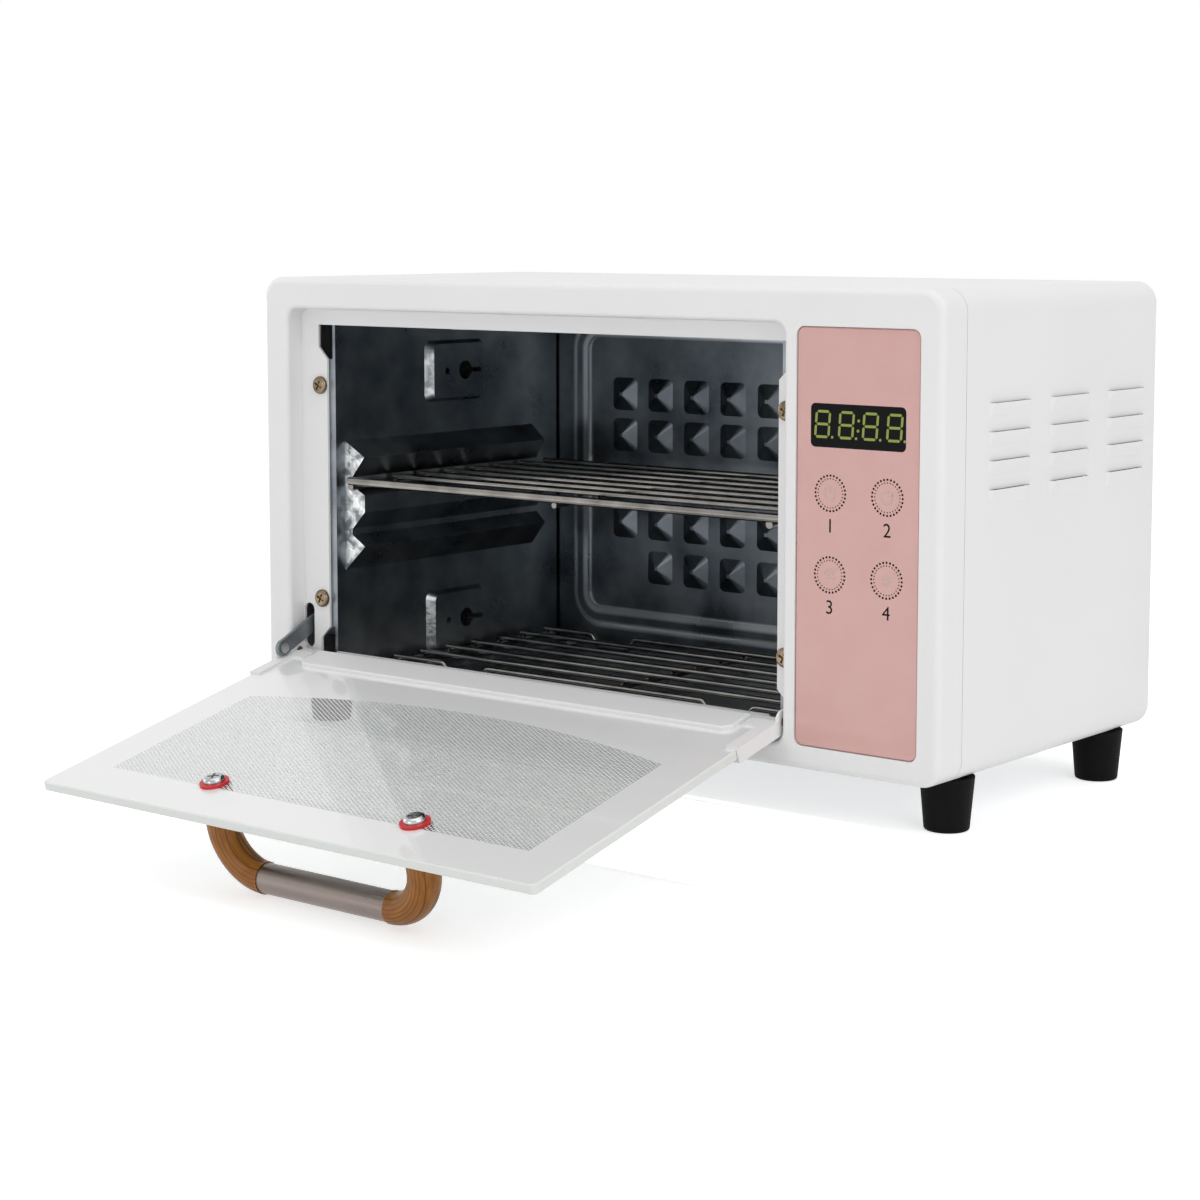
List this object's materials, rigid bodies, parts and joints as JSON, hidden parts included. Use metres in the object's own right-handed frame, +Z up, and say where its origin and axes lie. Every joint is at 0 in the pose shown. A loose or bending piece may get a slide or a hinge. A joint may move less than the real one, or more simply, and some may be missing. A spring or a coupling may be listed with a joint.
{
  "type": "nail tool sterilizer",
  "caption": "Countertop ultraviolet sterilizer cabinet for nail tools, with a drop-down glass door, wire racks and a touch panel.",
  "frame": {"origin": "centre of the four feet, on the surface that they stand on", "axes": "+X to the right seen from the front, +Y from the door to the rear, +Z up"},
  "size_m": [0.3574, 0.3125, 0.2408],
  "materials": {
    "white_powder_coat": "fine textured satin",
    "aluminised_steel": "satin",
    "chrome_wire": "bright",
    "door_glass": "polished, white printed border",
    "wood": "satin",
    "brushed_steel": "brushed",
    "link_steel": "satin",
    "zinc_screw": "bright",
    "red_rubber": "satin",
    "black_rubber": "satin",
    "pink_panel": "gloss",
    "black_window": "gloss",
    "circuit_board": "satin",
    "white_plastic": "satin",
    "black_plastic": "satin",
    "galvanised_steel": "satin",
    "spring_steel": "satin",
    "lamp_glass": "polished",
    "mica": "matt",
    "copper_pad": "satin"
  },
  "bodies": {
    "cabinet": {"front_frame": "white_powder_coat", "outer_case": "white_powder_coat", "base_plate": "galvanised_steel", "rear_panel": "aluminised_steel", "liner_left": "aluminised_steel", "liner_right": "aluminised_steel", "liner_top": "aluminised_steel", "liner_floor": "aluminised_steel", "foot_front_left": "black_rubber", "foot_front_right": "black_rubber", "foot_rear_left": "black_rubber", "foot_rear_right": "black_rubber", "foot_screws": "zinc_screw", "ledge_screws": "zinc_screw", "rear_screws": "zinc_screw", "link_spring": "spring_steel", "link_guide": "galvanised_steel", "spring_anchor": "galvanised_steel", "control_panel": "pink_panel", "display_window": "black_window", "display_module": "black_plastic", "control_board": "circuit_board", "board_standoffs": "white_plastic", "board_screws": "zinc_screw", "touch_pads": "copper_pad", "power_board": "circuit_board", "power_standoffs": "white_plastic", "transformer": "black_plastic", "relays": "black_plastic", "capacitors": "black_plastic", "terminal_block": "white_plastic", "lamp_ballast": "white_plastic", "uv_lamp": "lamp_glass", "lamp_caps": "galvanised_steel", "lamp_holders": "white_plastic", "drying_heater": "mica", "thermal_cutout": "black_plastic", "cord_gland": "black_plastic"},
    "door": {"door_glass": "door_glass", "hinge_rail": "white_powder_coat", "hinge_bracket_left": "white_powder_coat", "hinge_bracket_right": "white_powder_coat", "hinge_pins": "zinc_screw", "link_rivet": "zinc_screw", "handle_left_end": "wood", "handle_right_end": "wood", "handle_sleeve": "brushed_steel", "handle_washers": "red_rubber", "handle_screws": "zinc_screw"},
    "link": {"link_arm": "link_steel"},
    "upper_rack": {"upper_rack": "chrome_wire"},
    "lower_rack": {"lower_rack": "chrome_wire"}
  },
  "joints": [
    {"name": "door_hinge", "type": "hinge", "parent": "cabinet", "child": "door", "pos_m": [-0.0282, -0.0831, 0.0379], "axis": [-1, 0, 0], "range_deg": [0, 103.6], "deforming": ["link_spring"]},
    {"name": "link_pivot", "type": "hinge", "parent": "door", "child": "link", "pos_m": [-0.1599, -0.09465, 0.04056], "axis": [-1, 0, 0], "range_deg": [-103.6, 0]},
    {"name": "upper_rack_slide", "type": "slide", "parent": "cabinet", "child": "upper_rack", "axis": [0, 1, 0], "range_m": [-0.006, 0]},
    {"name": "lower_rack_lift", "type": "slide", "parent": "cabinet", "child": "lower_rack", "axis": [0, 0, 1], "range_m": [0, 0.03]}
  ],
  "couplings": [
    {"joint": "link_pivot", "follows": "door_hinge", "ratio": -1}
  ]
}
